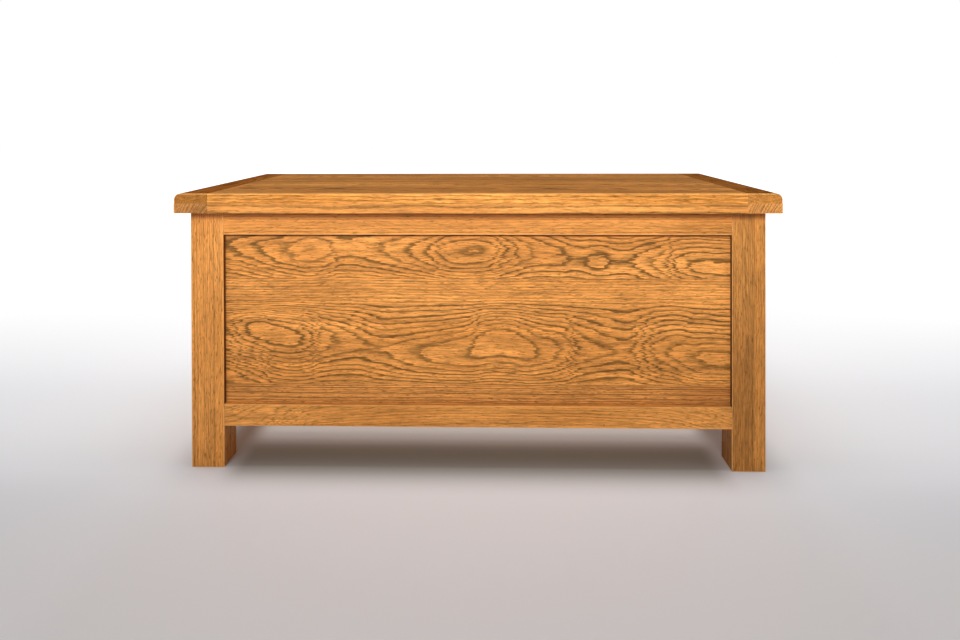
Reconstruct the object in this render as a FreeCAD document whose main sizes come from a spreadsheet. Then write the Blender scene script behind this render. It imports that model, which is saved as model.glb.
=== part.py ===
"""Panelled oak blanket chest with a hinged lid, modelled in millimetres.

Frame: origin on the floor under the middle of the chest, X along the chest (its left end at -X),
Y from front to back, Z up.  The front panel faces -Y.

The carcass is four corner posts, with a top and a bottom rail tenoned between each pair, and a
panel of edge-glued boards held in grooves.  The lid is two layers: a top layer of long boards
between two breadboard ends, and a frame of strips glued under its rim.  Three butt hinges carry
the lid, and a slotted stay at each end stops it just past upright.
"""

import FreeCAD, Part
import os

import Sketcher

DIMENSIONS = [
    # alias, millimetres (degrees for an angle), what it is
    ("lid_length", 1100, "lid, end to end"),
    ("lid_depth", 500, "lid, front to back"),
    ("overall_height", 508, "floor to lid top"),
    ("ply_thick", 18, "each of the lid's two layers"),
    ("lid_gap", 1.5, "carcass top to lid underside"),
    ("side_overhang", 24, "lid past the posts at each end"),
    ("front_overhang", 17, "lid past the front posts"),
    ("end_width", 62, "breadboard end, and each strip under the lid's rim"),
    ("end_round", 12, "rounding along the top of each breadboard end"),
    ("lid_arris", 1.6, "easing of the lid's other edges"),
    ("tongue_thick", 6, "tongue of the lid boards in the breadboard ends"),
    ("tongue_length", 10, "tongue of the lid boards, past the shoulder"),
    ("tongue_stop", 18, "tongue and its groove stop this far from the lid's edges"),
    ("post_size", 61, "square corner post"),
    ("post_arris", 1.5, "easing of the post's edges"),
    ("rail_thick", 22, "rail, outside to inside"),
    ("rail_height", 40, "every rail"),
    ("rail_setback", 0.5, "rail behind the post's face"),
    ("rail_arris", 1, "easing of the rail's long edges"),
    ("floor_clearance", 77, "floor to the bottom rails"),
    ("panel_thick", 10, "panel boards, and the width of groove, tenon and mortise"),
    ("panel_recess", 9.5, "panel behind the post's face"),
    ("groove_depth", 9, "groove that holds the panel"),
    ("panel_bite", 8, "panel's edge inside that groove"),
    ("tenon_length", 28, "rail's tenon"),
    ("tenon_shoulder", 5, "shoulder at the tenon's outer edge"),
    ("mortise_spare", 1, "mortise past the tenon's end"),
    ("cleat_size", 20, "square batten that carries the floor boards"),
    ("cleat_rise", 3, "batten above the bottom rail's lower edge"),
    ("tongue_play", 0.5, "groove past a floor board's tongue"),
    ("board_thick", 12, "floor boards"),
    ("board_tongue", 5, "tongue between floor boards"),
    ("board_play", 1, "floor boards clear of the carcass"),
    ("hinge_length", 75, "hinge along its pin"),
    ("hinge_spread", 370, "outer hinges from the middle one"),
    ("leaf_thick", 2, "hinge leaf"),
    ("leaf_width", 24, "hinge leaf, from the pin's axis"),
    ("knuckle_radius", 4, "hinge knuckle"),
    ("knuckle_play", 0.3, "knuckle clear of wood and of its neighbours"),
    ("pin_radius", 2, "hinge pin"),
    ("pin_play", 0.05, "hinge pin and stay pivot, radial clearance"),
    ("pin_head", 3, "hinge pin's head, radius"),
    ("pin_head_thick", 1.5, "hinge pin's head"),
    ("screw_radius", 1.7, "wood screw's shank"),
    ("screw_head", 3.6, "wood screw's head, radius"),
    ("screw_head_depth", 1.9, "countersunk head"),
    ("screw_tip", 0.2, "wood screw's blunt tip, radius"),
    ("screw_length", 15, "hinge and stay screws"),
    ("cleat_screw_length", 32, "batten screws"),
    ("screw_play", 0.05, "hole round a screw"),
    ("drive_width", 0.8, "blade of the cross recess"),
    ("drive_length", 4.2, "cross recess, tip to tip"),
    ("drive_depth", 1.3, "cross recess"),
    ("hinge_screw_pitch", 26, "between the screws of one leaf"),
    ("hinge_screw_inset", 15, "hinge screws from the pin's axis"),
    ("stay_radius", 160, "hinge axis to the stay's pivot, and to its stud"),
    ("stay_pivot_angle", 4.5, "stay's pivot below the hinge axis, degrees"),
    ("stay_stud_angle", 10.5, "stay's stud below the hinge axis, degrees"),
    ("lid_opening", 95, "lid's travel, degrees"),
    ("stay_thick", 2, "stay arm, bracket and plate"),
    ("stay_half_width", 8, "half the stay arm's width"),
    ("slot_half_width", 3.3, "half the slot's width"),
    ("stay_slot_end", 1, "centre of the arm's end past the end of its slot"),
    ("stud_radius", 3, "stud in the slot"),
    ("stud_collar", 5, "stud's collar and head, radius"),
    ("stud_head_thick", 1.6, "stud's head"),
    ("stay_plane", 491.7, "inner face of the stay arm from the chest's middle"),
    ("stay_play", 0.3, "stay arm clear of the stud's collar and head"),
    ("bracket_gap", 0.7, "washer gap between the bracket's ear and the arm"),
    ("rivet_spare", 0.2, "rivet longer than what it holds"),
    ("rivet_radius", 2.5, "pivot rivet"),
    ("rivet_head", 4.5, "pivot rivet's head, radius"),
    ("rivet_head_thick", 1.3, "pivot rivet's head"),
    ("bracket_reach", 13, "bracket's flange across the lid strip"),
    ("bracket_length", 46, "bracket's flange along the strip"),
    ("plate_length", 50, "stud plate"),
    ("plate_height", 18, "stud plate"),
    ("stay_screw_pitch", 34, "between the two screws of a bracket or plate"),
    ("buffer_radius", 5, "rubber buffer on a front post"),
    ("cut_spare", 1, "how far a cut runs past what it cuts, and a groove past its tongue"),
]

doc = FreeCAD.newDocument("chest")
sheet = doc.addObject("Spreadsheet::Sheet", "Dims")
for row, (alias, value, meaning) in enumerate(DIMENSIONS, 1):
    sheet.set(f"A{row}", meaning)
    sheet.set(f"B{row}", str(value))
    sheet.setAlias(f"B{row}", alias)
doc.recompute()

# Places worked out from the sheet, as expressions.
HALF_LID = "Dims.lid_length / 2"
HALF_CARCASS = "(Dims.lid_length / 2 - Dims.side_overhang)"
KNUCKLE_REACH = "(Dims.knuckle_radius + Dims.knuckle_play)"
BACK = f"((Dims.lid_depth - Dims.knuckle_radius - {KNUCKLE_REACH}) / 2)"
LID_FRONT = f"({BACK} - Dims.lid_depth)"
FRONT = f"({LID_FRONT} + Dims.front_overhang)"
LID_TOP = "Dims.overall_height"
LID_MIDDLE = "(Dims.overall_height - Dims.ply_thick)"
LID_UNDER = "(Dims.overall_height - 2 * Dims.ply_thick)"
CARCASS_TOP = f"({LID_UNDER} - Dims.lid_gap)"
LONG_SPAN = f"(2 * ({HALF_CARCASS} - Dims.post_size))"
SHORT_SPAN = f"({BACK} - {FRONT} - 2 * Dims.post_size)"
TOP_RAIL_LOW = f"({CARCASS_TOP} - Dims.rail_height)"
BOTTOM_RAIL_LOW = "Dims.floor_clearance"
BOTTOM_RAIL_TOP = "(Dims.floor_clearance + Dims.rail_height)"
PANEL_LOW = f"({BOTTOM_RAIL_TOP} - Dims.panel_bite)"
PANEL_HIGH = f"({TOP_RAIL_LOW} + Dims.panel_bite)"
TENON_HEIGHT = "(Dims.rail_height - Dims.groove_depth - Dims.tenon_shoulder)"
RAIL_INSIDE = "(Dims.rail_setback + Dims.rail_thick)"
CLEAT_LOW = "(Dims.floor_clearance + Dims.cleat_rise)"
BOARDS_LOW = f"({CLEAT_LOW} + Dims.cleat_size)"
AXIS_Y = f"({BACK} + {KNUCKLE_REACH})"
AXIS_Z = f"({CARCASS_TOP} + Dims.lid_gap / 2)"

X_AXIS, Y_AXIS, Z_AXIS = FreeCAD.Vector(1, 0, 0), FreeCAD.Vector(0, 1, 0), FreeCAD.Vector(0, 0, 1)
NO_TURN = FreeCAD.Rotation()
TO_PLUS_X = FreeCAD.Rotation(Y_AXIS, 90)
TO_MINUS_X = FreeCAD.Rotation(Y_AXIS, -90)
TO_PLUS_Y = FreeCAD.Rotation(X_AXIS, -90)
TO_MINUS_Y = FreeCAD.Rotation(X_AXIS, 90)
TO_MINUS_Z = FreeCAD.Rotation(X_AXIS, 180)
ABOUT_X = FreeCAD.Rotation(X_AXIS, 1)
LEFT, RIGHT = "left", "right"

nodes = []
cuts = []


# ---- helpers ----------------------------------------------------------------------------------


def bind(obj, **expressions):
    """Binds properties of obj to expressions on the sheet."""
    for name, expression in expressions.items():
        obj.setExpression(name, expression)
    return obj


def place(obj, x="0", y="0", z="0", turn=NO_TURN):
    """Puts obj's own origin at (x, y, z), turned by the rotation turn."""
    obj.Placement = FreeCAD.Placement(FreeCAD.Vector(), turn)
    for axis, expression in zip("xyz", (x, y, z)):
        obj.setExpression("Placement.Base." + axis, expression)
    return obj


def node(obj, label):
    """Names a finished sub-part; its label is the name of its file."""
    obj.Label = label
    nodes.append(obj)
    return obj


def box(length, width, height, x="0", y="0", z="0", turn=NO_TURN):
    solid = doc.addObject("Part::Box", "Block")
    return place(bind(solid, Length=length, Width=width, Height=height), x, y, z, turn)


def cylinder(radius, height, x="0", y="0", z="0", turn=NO_TURN):
    solid = doc.addObject("Part::Cylinder", "Round")
    return place(bind(solid, Radius=radius, Height=height), x, y, z, turn)


def cone(low_radius, high_radius, height, x="0", y="0", z="0", turn=NO_TURN):
    solid = doc.addObject("Part::Cone", "Taper")
    return place(bind(solid, Radius1=low_radius, Radius2=high_radius, Height=height), x, y, z, turn)


def round_ended(thick, half_width, top, length, x="0"):
    """A bar across X with round ends, between centres at z = top and length below it."""
    z = f"{top} - ({length})"
    return fused(
        box(thick, f"2 * {half_width}", length, x, f"-{half_width}", z),
        cylinder(half_width, thick, x, z=top, turn=TO_PLUS_X),
        cylinder(half_width, thick, x, z=z, turn=TO_PLUS_X),
    )


def fused(*solids):
    joined = doc.addObject("Part::MultiFuse", "Joined")
    joined.Shapes = list(solids)
    return joined


def grouped(solids):
    group = doc.addObject("Part::Compound", "Group")
    group.Links = list(solids)
    return group


def cut(base, *tools):
    """base less its tools; that each cut removes something is checked at the end."""
    less = doc.addObject("Part::Cut", "Less")
    less.Base = base
    less.Tool = tools[0] if len(tools) == 1 else grouped(tools)
    cuts.append((less, base))
    return less


def eased(solid, radius, wanted):
    """Rounds the edges of solid that the test wanted picks."""
    doc.recompute()
    size = float(sheet.get(radius.split(".")[1]))
    rounded = doc.addObject("Part::Fillet", "Eased")
    rounded.Base = solid
    rounded.Edges = [
        (number, size, size) for number, edge in enumerate(solid.Shape.Edges, 1) if wanted(edge)
    ]
    return rounded


def spans(edge, axis):
    """Length of an edge's bounding box along axis, which is "X", "Y" or "Z"."""
    return getattr(edge.BoundBox, axis + "Length")


def origin_plane(body, role):
    return next(f for f in body.Origin.OriginFeatures if f.Role == role)


def sketch_on(body, name, role, lift="0"):
    """An empty sketch on one of the body's origin planes, lifted along the plane's normal."""
    sketch = body.newObject("Sketcher::SketchObject", name)
    sketch.AttachmentSupport = (origin_plane(body, role), "")
    sketch.MapMode = "FlatFace"
    sketch.setExpression("AttachmentOffset.Base.z", lift)
    return sketch


def hold(sketch, kind, name, expression, *where):
    """A dimension of the sketch, bound to the sheet."""
    sketch.addConstraint(Sketcher.Constraint(kind, *where, 1.0))
    index = sketch.ConstraintCount - 1
    sketch.renameConstraint(index, name)
    sketch.setExpression("Constraints." + name, expression)


def rectangle(body, name, role, left, low, width, height, lift="0"):
    """A rectangle from (left, low), with every size bound to the sheet."""
    sketch = sketch_on(body, name, role, lift)
    corners = [FreeCAD.Vector(x, y, 0) for x, y in ((1, 1), (2, 1), (2, 2), (1, 2))]
    for number in range(4):
        sketch.addGeometry(Part.LineSegment(corners[number], corners[(number + 1) % 4]))
    for number in range(4):
        sketch.addConstraint(Sketcher.Constraint("Coincident", number, 2, (number + 1) % 4, 1))
        direction = "Vertical" if number % 2 else "Horizontal"
        sketch.addConstraint(Sketcher.Constraint(direction, number))
    hold(sketch, "DistanceX", "left", left, -1, 1, 0, 1)
    hold(sketch, "DistanceY", "low", low, -1, 1, 0, 1)
    hold(sketch, "DistanceX", "width", width, 0, 1, 0, 2)
    hold(sketch, "DistanceY", "height", height, 1, 1, 1, 2)
    return sketch


def pad(body, sketch, length, flip=False):
    feature = body.newObject("PartDesign::Pad", sketch.Name + "Pad")
    feature.Profile = sketch
    feature.Reversed = flip
    return bind(feature, Length=length)


def pocket(body, sketch, depth, flip=False):
    """Cuts against the sketch plane's normal, or along it when flip is true."""
    before = body.Tip
    feature = body.newObject("PartDesign::Pocket", sketch.Name + "Pocket")
    feature.Profile = sketch
    feature.Reversed = flip
    cuts.append((feature, before))
    return bind(feature, Length=depth)


def fillet(body, radius, wanted):
    """Rounds the body's edges that the test wanted picks."""
    doc.recompute()
    base = body.Tip
    names = [f"Edge{number}" for number, edge in enumerate(base.Shape.Edges, 1) if wanted(edge)]
    feature = body.newObject("PartDesign::Fillet", "Eased")
    feature.Base = (base, names)
    return bind(feature, Radius=radius)


# ---- fasteners --------------------------------------------------------------------------------


def screw(x, y, z, turn, length):
    """A countersunk wood screw with a cross recess. Its head's top is at (x, y, z), and its own
    -Z, turned by turn, runs down the shank."""
    shank = cylinder(
        "Dims.screw_radius",
        f"{length} - Dims.screw_head_depth - Dims.screw_radius",
        z=f"-({length} - Dims.screw_radius)",
    )
    point = cone("Dims.screw_tip", "Dims.screw_radius", "Dims.screw_radius", z=f"-{length}")
    head = cone(
        "Dims.screw_radius", "Dims.screw_head", "Dims.screw_head_depth", z="-Dims.screw_head_depth"
    )
    across = ("Dims.drive_length", "Dims.drive_width")
    recess = [
        box(a, b, "Dims.drive_depth", f"-{a} / 2", f"-{b} / 2", "-Dims.drive_depth")
        for a, b in (across, across[::-1])
    ]
    return place(cut(fused(shank, point, head), fused(*recess)), x, y, z, turn)


def pilot(x, y, z, turn, length):
    """The hole that a screw fills in wood."""
    hole = cylinder("Dims.screw_radius + Dims.screw_play", length, z=f"-{length}")
    return place(grouped([hole]), x, y, z, turn)


def countersink(x, y, z, turn, depth):
    """The hole that a screw fills in the piece under its head."""
    play = "Dims.screw_play"
    hole = cylinder(f"Dims.screw_radius + {play}", depth, z=f"-({depth})")
    seat = cone(
        f"Dims.screw_radius + {play}",
        f"Dims.screw_head + {play}",
        "Dims.screw_head_depth",
        z="-Dims.screw_head_depth",
    )
    return place(fused(hole, seat), x, y, z, turn)


# ---- the four sides of the carcass ------------------------------------------------------------

# Every piece of a side is made looking at it from outside: its own X runs left to right between
# the posts, Y goes inwards from the posts' outer face, and Z is up.
SIDES = {
    # side: turn about Z, x and y of the left post's inner corner at the outer face, clear span
    "front": (0, f"-({HALF_CARCASS} - Dims.post_size)", FRONT, LONG_SPAN),
    "right": (90, HALF_CARCASS, f"({FRONT} + Dims.post_size)", SHORT_SPAN),
    "back": (180, f"({HALF_CARCASS} - Dims.post_size)", BACK, LONG_SPAN),
    "left": (270, f"-{HALF_CARCASS}", f"({BACK} - Dims.post_size)", SHORT_SPAN),
}
# How far a piece moves in X and in Y as it goes 1 mm along a side, and 1 mm inwards.
ALONG = {"front": (1, 0), "right": (0, 1), "back": (-1, 0), "left": (0, -1)}
INWARD = {"front": (0, 1), "right": (-1, 0), "back": (0, -1), "left": (1, 0)}


def on_side(side, along, inward):
    """x and y of a point of a side, as expressions."""
    _, x, y, _ = SIDES[side]
    steps = zip((x, y), ALONG[side], INWARD[side])
    return [f"({start} + ({a}) * ({along}) + ({i}) * ({inward}))" for start, a, i in steps]


def put_on_side(obj, side, along, inward, z):
    x, y = on_side(side, along, inward)
    return place(obj, x, y, z, FreeCAD.Rotation(Z_AXIS, SIDES[side][0]))


def make_post(label, x, y, turn):
    """A corner post. Its own origin is its outer corner; rails meet its +X and its +Y face."""
    body = doc.addObject("PartDesign::Body", "Post")
    pad(
        body,
        rectangle(body, "PostSection", "XY_Plane", "0", "0", "Dims.post_size", "Dims.post_size"),
        CARCASS_TOP,
    )
    low_tenon = "(Dims.floor_clearance + Dims.tenon_shoulder)"
    high_tenon = f"({TOP_RAIL_LOW} + Dims.groove_depth)"
    groove_low = f"({BOTTOM_RAIL_TOP} - Dims.groove_depth)"
    # On the XZ plane the sketch's normal is -Y, so the lift is negative and the cut is flipped.
    for role, lift, flip in (
        ("YZ_Plane", "Dims.post_size", False),
        ("XZ_Plane", "-Dims.post_size", True),
    ):
        groove = rectangle(
            body, "PanelGroove", role, "Dims.panel_recess", groove_low, "Dims.panel_thick",
            f"{high_tenon} - {groove_low}", lift,
        )
        pocket(body, groove, "Dims.groove_depth", flip)
        for low in (low_tenon, high_tenon):
            mortise = rectangle(
                body, "Mortise", role, "Dims.panel_recess", low, "Dims.panel_thick",
                TENON_HEIGHT, lift,
            )
            pocket(body, mortise, "Dims.tenon_length + Dims.mortise_spare", flip)
    size = float(sheet.get("post_size"))

    def outer_edge(edge):
        """The four long corners, and the four edges that stand on the floor."""
        b = edge.BoundBox
        at_corner = all(min(abs(v), abs(v - size)) < 0.01 for v in (b.XMin, b.YMin))
        return (b.ZLength > 5 * size and at_corner) or b.ZMax < 0.01

    fillet(body, "Dims.post_arris", outer_edge)
    return node(place(body, x, y, "0", FreeCAD.Rotation(Z_AXIS, turn)), label)


def make_rail(side, top):
    """A rail with its tenons and its groove; top says whether it is the upper of its side."""
    span = SIDES[side][3]
    body = doc.addObject("PartDesign::Body", "Rail")
    section = rectangle(
        body, "RailSection", "YZ_Plane", "0", "0", "Dims.rail_thick", "Dims.rail_height"
    )
    pad(body, section, span)
    into_rail = "(Dims.panel_recess - Dims.rail_setback)"
    tenon = rectangle(
        body, "Tenon", "YZ_Plane", into_rail, "Dims.groove_depth" if top else "Dims.tenon_shoulder",
        "Dims.panel_thick", TENON_HEIGHT, "-Dims.tenon_length",
    )
    pad(body, tenon, f"{span} + 2 * Dims.tenon_length")
    groove = rectangle(
        body, "PanelGroove", "XY_Plane", "0", into_rail, span, "Dims.panel_thick",
        "0" if top else "Dims.rail_height",
    )
    pocket(body, groove, "Dims.groove_depth", flip=top)
    thick, height = (float(sheet.get(name)) for name in ("rail_thick", "rail_height"))

    def long_edge(edge):
        b = edge.BoundBox
        at_corner = min(abs(b.YMin), abs(b.YMin - thick)) < 0.01 and (
            min(abs(b.ZMin), abs(b.ZMin - height)) < 0.01
        )
        return at_corner and b.XLength > 100 and b.YLength < 0.01 and b.ZLength < 0.01

    fillet(body, "Dims.rail_arris", long_edge)
    return put_on_side(body, side, "0", "Dims.rail_setback", TOP_RAIL_LOW if top else BOTTOM_RAIL_LOW)


# The boards of each panel from the bottom up, as shares of the panel's height.
PANEL_BOARDS = {
    "front": (("bottom", 0.134), ("middle", 0.594), ("top", 0.272)),
    "back": (("lower", 0.52), ("upper", 0.48)),
    "left": (("lower", 0.56), ("upper", 0.44)),
    "right": (("lower", 0.47), ("upper", 0.53)),
}


def make_panel(side):
    """The edge-glued boards of one panel."""
    height = f"({PANEL_HIGH} - {PANEL_LOW})"
    below = 0.0
    for place_name, share in PANEL_BOARDS[side]:
        board = box(
            f"{SIDES[side][3]} + 2 * Dims.panel_bite", "Dims.panel_thick", f"{share} * {height}"
        )
        put_on_side(
            board, side, "-Dims.panel_bite", "Dims.panel_recess", f"{PANEL_LOW} + {below:.4f} * {height}"
        )
        node(board, f"{side}_panel_{place_name}_board")
        below += share


LONG_CLEAT_SCREWS, SHORT_CLEAT_SCREWS = (0.08, 0.36, 0.64, 0.92), (0.18, 0.82)


def cleat_screw_places(side):
    """Where the batten of a side is screwed: distances along it, from shares of its length."""
    shares = LONG_CLEAT_SCREWS if side in ("front", "back") else SHORT_CLEAT_SCREWS
    return [f"{share} * {SIDES[side][3]}" for share in shares]


OUTWARD_TURN = {"front": TO_PLUS_Y, "back": TO_MINUS_Y, "left": TO_PLUS_X, "right": TO_MINUS_X}


def cleat_holes(side, maker, length):
    """One hole or screw for each screw place of a side's batten, its head at the inside."""
    made = []
    for along in cleat_screw_places(side):
        x, y = on_side(side, along, f"{RAIL_INSIDE} + Dims.cleat_size")
        made.append(maker(x, y, f"{CLEAT_LOW} + Dims.cleat_size / 2", OUTWARD_TURN[side], length))
    return made


def make_cleat(side):
    """The batten on the inside of a bottom rail that carries the floor boards."""
    batten = box(f"{SIDES[side][3]} - 2 * Dims.board_play", "Dims.cleat_size", "Dims.cleat_size")
    put_on_side(batten, side, "Dims.board_play", RAIL_INSIDE, CLEAT_LOW)
    holes = cleat_holes(side, countersink, "Dims.cleat_size + Dims.cut_spare")
    node(cut(batten, *holes), f"{side}_floor_batten")


# ---- hinges -----------------------------------------------------------------------------------

HINGES = {"left": "-Dims.hinge_spread", "middle": "0", "right": "Dims.hinge_spread"}
KNUCKLES = 5
SCREW_Y = f"({AXIS_Y} - Dims.hinge_screw_inset)"


def hinge_screw_xs():
    """X of every hinge screw, with its hinge's name."""
    for hinge, middle in HINGES.items():
        for step in (-1, 0, 1):
            yield hinge, f"({middle} + {step} * Dims.hinge_screw_pitch)"


def hinge_holes(maker, z, turn, length, only=None):
    return [
        maker(x, SCREW_Y, z, turn, length) for hinge, x in hinge_screw_xs() if only in (None, hinge)
    ]


def hinge_recesses(z):
    """The shallow beds of the leaves, from the wood's back face inwards."""
    return [
        box(
            "Dims.hinge_length + 2 * Dims.knuckle_play",
            "Dims.leaf_width + 2 * Dims.knuckle_play",
            "Dims.leaf_thick",
            f"{middle} - Dims.hinge_length / 2 - Dims.knuckle_play",
            f"{AXIS_Y} - Dims.leaf_width - Dims.knuckle_play",
            z,
        )
        for middle in HINGES.values()
    ]


def make_leaf(hinge, on_lid):
    """One leaf: a plate with every other knuckle. The lid's leaf has knuckles 2 and 4 of 5."""
    middle = HINGES[hinge]
    pitch = f"(Dims.hinge_length / {KNUCKLES})"
    start = f"({middle} - Dims.hinge_length / 2)"
    low = f"{AXIS_Z} + Dims.lid_gap / 2" if on_lid else f"{CARCASS_TOP} - Dims.leaf_thick"
    plate = box("Dims.hinge_length", "Dims.leaf_width", "Dims.leaf_thick", start,
                f"{AXIS_Y} - Dims.leaf_width", low)
    own = [number for number in range(KNUCKLES) if (number % 2 == 1) == on_lid]
    barrel = [
        cylinder(
            "Dims.knuckle_radius", f"{pitch} - Dims.knuckle_play",
            f"{start} + {number} * {pitch} + Dims.knuckle_play / 2", AXIS_Y, AXIS_Z, TO_PLUS_X,
        )
        for number in own
    ]
    gaps = [
        box(
            f"{pitch} + Dims.knuckle_play", f"{KNUCKLE_REACH} + Dims.cut_spare",
            "4 * Dims.knuckle_radius",
            f"{start} + {number} * {pitch} - Dims.knuckle_play / 2", f"{AXIS_Y} - {KNUCKLE_REACH}",
            f"{AXIS_Z} - 2 * Dims.knuckle_radius",
        )
        for number in range(KNUCKLES)
        if number not in own
    ]
    bore = cylinder(
        "Dims.pin_radius + Dims.pin_play", "Dims.hinge_length + 2 * Dims.cut_spare",
        f"{start} - Dims.cut_spare", AXIS_Y, AXIS_Z, TO_PLUS_X,
    )
    if on_lid:
        seats = hinge_holes(countersink, low, TO_MINUS_Z, "Dims.leaf_thick + Dims.cut_spare", hinge)
    else:
        seats = hinge_holes(countersink, CARCASS_TOP, NO_TURN, "Dims.leaf_thick + Dims.cut_spare", hinge)
    leaf = cut(fused(cut(plate, *gaps), *barrel), bore, *seats)
    return node(leaf, f"hinge_{hinge}_{'lid' if on_lid else 'carcass'}_leaf")


def make_pin(middle):
    """A hinge pin with a flat head at each end."""
    start = f"({middle} - Dims.hinge_length / 2)"
    end = f"({middle} + Dims.hinge_length / 2)"
    heads = [
        cylinder("Dims.pin_head", "Dims.pin_head_thick", x, AXIS_Y, AXIS_Z, TO_PLUS_X)
        for x in (f"{start} - Dims.pin_head_thick", end)
    ]
    shaft = cylinder("Dims.pin_radius", "Dims.hinge_length", start, AXIS_Y, AXIS_Z, TO_PLUS_X)
    return fused(shaft, *heads)


# ---- lid stays --------------------------------------------------------------------------------

# The stay's pivot on the lid and its stud on the carcass are the same distance from the hinge
# axis. The arm from one to the other then turns by exactly half of the lid's angle, so that its
# straight slot stays on the stud all the way.
PIVOT_Y = f"({AXIS_Y} - Dims.stay_radius * cos(Dims.stay_pivot_angle))"
PIVOT_Z = f"({AXIS_Z} - Dims.stay_radius * sin(Dims.stay_pivot_angle))"
STUD_Y = f"({AXIS_Y} - Dims.stay_radius * cos(Dims.stay_stud_angle))"
STUD_Z = f"({AXIS_Z} - Dims.stay_radius * sin(Dims.stay_stud_angle))"
STAY_SPREAD = "(Dims.stay_stud_angle - Dims.stay_pivot_angle)"
SLOT_START = f"(2 * Dims.stay_radius * sin({STAY_SPREAD} / 2))"
SLOT_END = f"(2 * Dims.stay_radius * sin(({STAY_SPREAD} + Dims.lid_opening) / 2))"
STAY_LEAN = "((Dims.stay_stud_angle + Dims.stay_pivot_angle) / 2)"
RAIL_INNER_X = f"({HALF_CARCASS} - {RAIL_INSIDE})"
ARM_OUTER = "(Dims.stay_plane + Dims.stay_thick)"
BRACKET_INNER = "(Dims.stay_plane - Dims.bracket_gap - Dims.stay_thick)"
OUT = {LEFT: -1, RIGHT: 1}
OUTWARD = {LEFT: TO_MINUS_X, RIGHT: TO_PLUS_X}


def thick_slab(end, inner, thick, width, height, y, z):
    """A slab across X, its inner face at inner from the chest's middle."""
    x = inner if end == RIGHT else f"-({inner} + {thick})"
    return box(thick, width, height, x, y, z)


def rod(end, radius, inner, length, y, z):
    """A round rod along X, starting at inner from the chest's middle and running outwards."""
    x = inner if end == RIGHT else f"-({inner})"
    return cylinder(radius, length, x, y, z, OUTWARD[end])


def make_arm(end):
    """The slotted arm. Its own origin is its pivot, and it hangs down its own -Z."""
    tail = "(Dims.slot_half_width + Dims.stay_slot_end)"
    bar = round_ended("Dims.stay_thick", "Dims.stay_half_width", "0", f"{SLOT_END} + {tail}")
    slot = round_ended(
        "Dims.stay_thick + 2 * Dims.cut_spare", "Dims.slot_half_width", f"-{SLOT_START}",
        f"{SLOT_END} - {SLOT_START}", "-Dims.cut_spare",
    )
    eye = cylinder(
        "Dims.rivet_radius + Dims.pin_play", "Dims.stay_thick + 2 * Dims.cut_spare",
        "-Dims.cut_spare", turn=TO_PLUS_X,
    )
    arm = cut(bar, slot, eye)
    place(arm, "Dims.stay_plane" if end == RIGHT else f"-{ARM_OUTER}", PIVOT_Y, PIVOT_Z, ABOUT_X)
    bind(arm, **{"Placement.Rotation.Angle": STAY_LEAN})
    return node(arm, f"stay_arm_{end}")


def bracket_screws(end, maker, length):
    """Screws, or their holes, that fix a stay's bracket to the strip under the lid."""
    x = f"({OUT[end]} * ({BRACKET_INNER} + Dims.stay_thick / 2 + Dims.bracket_reach / 2))"
    return [
        maker(x, f"{PIVOT_Y} + {side} * Dims.stay_screw_pitch / 2", f"{LID_UNDER} - Dims.stay_thick",
              TO_MINUS_Z, length)
        for side in (-1, 1)
    ]


def make_bracket(end):
    """An angle bracket under the lid: a flange, and an ear that holds the arm's pivot."""
    flange = thick_slab(
        end, BRACKET_INNER, "Dims.bracket_reach", "Dims.bracket_length", "Dims.stay_thick",
        f"{PIVOT_Y} - Dims.bracket_length / 2", f"{LID_UNDER} - Dims.stay_thick",
    )
    ear = thick_slab(
        end, BRACKET_INNER, "Dims.stay_thick", "2 * Dims.stay_half_width",
        f"{LID_UNDER} - {PIVOT_Z}", f"{PIVOT_Y} - Dims.stay_half_width", PIVOT_Z,
    )
    tip = rod(end, "Dims.stay_half_width", BRACKET_INNER, "Dims.stay_thick", PIVOT_Y, PIVOT_Z)
    hole = rod(
        end, "Dims.rivet_radius + Dims.pin_play", f"{BRACKET_INNER} - Dims.cut_spare",
        "Dims.stay_thick + 2 * Dims.cut_spare", PIVOT_Y, PIVOT_Z,
    )
    seats = bracket_screws(end, countersink, "Dims.stay_thick + Dims.cut_spare")
    return node(cut(fused(flange, ear, tip), hole, *seats), f"stay_bracket_{end}")


def make_rivet(end):
    """The rivet through a bracket's ear and its arm."""
    shaft_length = f"({ARM_OUTER} - {BRACKET_INNER} + Dims.rivet_spare)"
    shaft = rod(end, "Dims.rivet_radius", BRACKET_INNER, shaft_length, PIVOT_Y, PIVOT_Z)
    inner = rod(
        end, "Dims.rivet_head", f"{BRACKET_INNER} - Dims.rivet_head_thick", "Dims.rivet_head_thick",
        PIVOT_Y, PIVOT_Z,
    )
    outer = rod(
        end, "Dims.rivet_head", f"{BRACKET_INNER} + {shaft_length}", "Dims.rivet_head_thick",
        PIVOT_Y, PIVOT_Z,
    )
    return fused(shaft, inner, outer)


def plate_screws(end, maker, length):
    """Screws, or their holes, that fix a stud plate to a side rail."""
    x = f"({OUT[end]} * ({RAIL_INNER_X} - Dims.stay_thick))"
    inward = OUTWARD[RIGHT if end == LEFT else LEFT]
    return [
        maker(x, f"{STUD_Y} + {side} * Dims.stay_screw_pitch / 2", STUD_Z, inward, length)
        for side in (-1, 1)
    ]


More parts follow.
